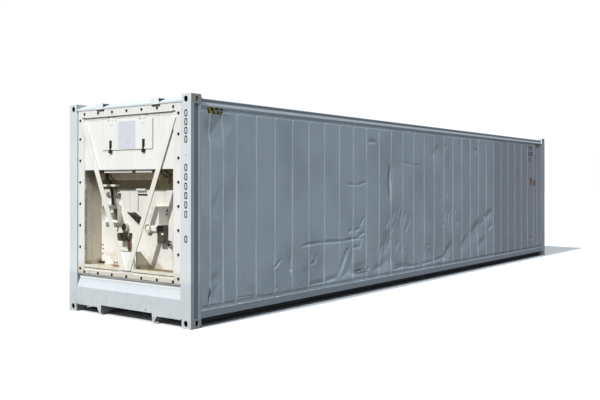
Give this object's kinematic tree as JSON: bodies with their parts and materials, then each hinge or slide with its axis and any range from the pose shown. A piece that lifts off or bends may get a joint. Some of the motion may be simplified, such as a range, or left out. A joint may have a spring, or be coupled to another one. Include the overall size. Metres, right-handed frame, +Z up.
{
  "type": "refrigerated shipping container",
  "caption": "Long high-cube refrigerated shipping container with hollow corner castings, pressed side walls, an open machinery bay with a V brace and a latched access hatch.",
  "frame": {"origin": "middle of the footprint, at the bottom of the corner castings", "axes": "+X towards the doors along the length, +Y across the width to the left side, +Z up"},
  "size_m": [12.192, 2.438, 2.896],
  "materials": {
    "frame_paint": "satin",
    "wall_skin": "satin",
    "machinery_white": "satin",
    "rubber": "matte",
    "dark_steel": "satin",
    "floor_aluminium": "satin"
  },
  "bodies": {
    "body": {"baffle_plate": "dark_steel", "bay_boxes": "machinery_white", "bay_brackets": "machinery_white", "bay_ceiling": "machinery_white", "bay_cheeks": "machinery_white", "bottom_rails": "frame_paint", "brace_arms": "machinery_white", "brace_foot": "machinery_white", "brace_gusset": "machinery_white", "bulkhead": "wall_skin", "coil_rails": "machinery_white", "corner_casting_bottom_front_left": "frame_paint", "corner_casting_bottom_front_right": "frame_paint", "corner_casting_bottom_rear_left": "frame_paint", "corner_casting_bottom_rear_right": "frame_paint", "corner_casting_top_front_left": "frame_paint", "corner_casting_top_front_right": "frame_paint", "corner_casting_top_rear_left": "frame_paint", "corner_casting_top_rear_right": "frame_paint", "cross_members": "frame_paint", "door_gaskets": "rubber", "door_hinges": "frame_paint", "door_leaf_left": "wall_skin", "door_leaf_right": "wall_skin", "drip_tray": "machinery_white", "front_header": "frame_paint", "front_post_left": "frame_paint", "front_post_right": "frame_paint", "front_sill": "frame_paint", "gooseneck_tunnel": "frame_paint", "header_lugs": "frame_paint", "hinge_leaves": "machinery_white", "latch_keepers": "dark_steel", "lock_rods": "frame_paint", "machinery_flange": "machinery_white", "motor_stubs": "dark_steel", "rear_header": "frame_paint", "rear_posts": "frame_paint", "rear_sill": "frame_paint", "rear_threshold": "frame_paint", "rod_guides": "frame_paint", "roof": "wall_skin", "side_wall_left": "wall_skin", "side_wall_right": "wall_skin", "subfloor": "wall_skin", "tbar_floor": "floor_aluminium", "top_rails": "frame_paint", "upper_panel": "machinery_white"},
    "hatch": {"hatch": "machinery_white", "hatch_gasket": "rubber", "hatch_straps": "machinery_white", "latch_bases": "dark_steel"},
    "latch_right": {"latch_lever_right": "dark_steel"},
    "latch_left": {"latch_lever_left": "dark_steel"}
  },
  "joints": [
    {"name": "hatch_hinge", "type": "hinge", "parent": "body", "child": "hatch", "pos_m": [-6.08, 0, 2.643], "axis": [0, 1, 0], "range_deg": [0, 110]},
    {"name": "latch_right_pivot", "type": "hinge", "parent": "hatch", "child": "latch_right", "pos_m": [-6.088, -0.332, 2.355], "axis": [0, 1, 0], "range_deg": [0, 100]},
    {"name": "latch_left_pivot", "type": "hinge", "parent": "hatch", "child": "latch_left", "pos_m": [-6.088, 0.332, 2.355], "axis": [0, 1, 0], "range_deg": [0, 100]}
  ]
}
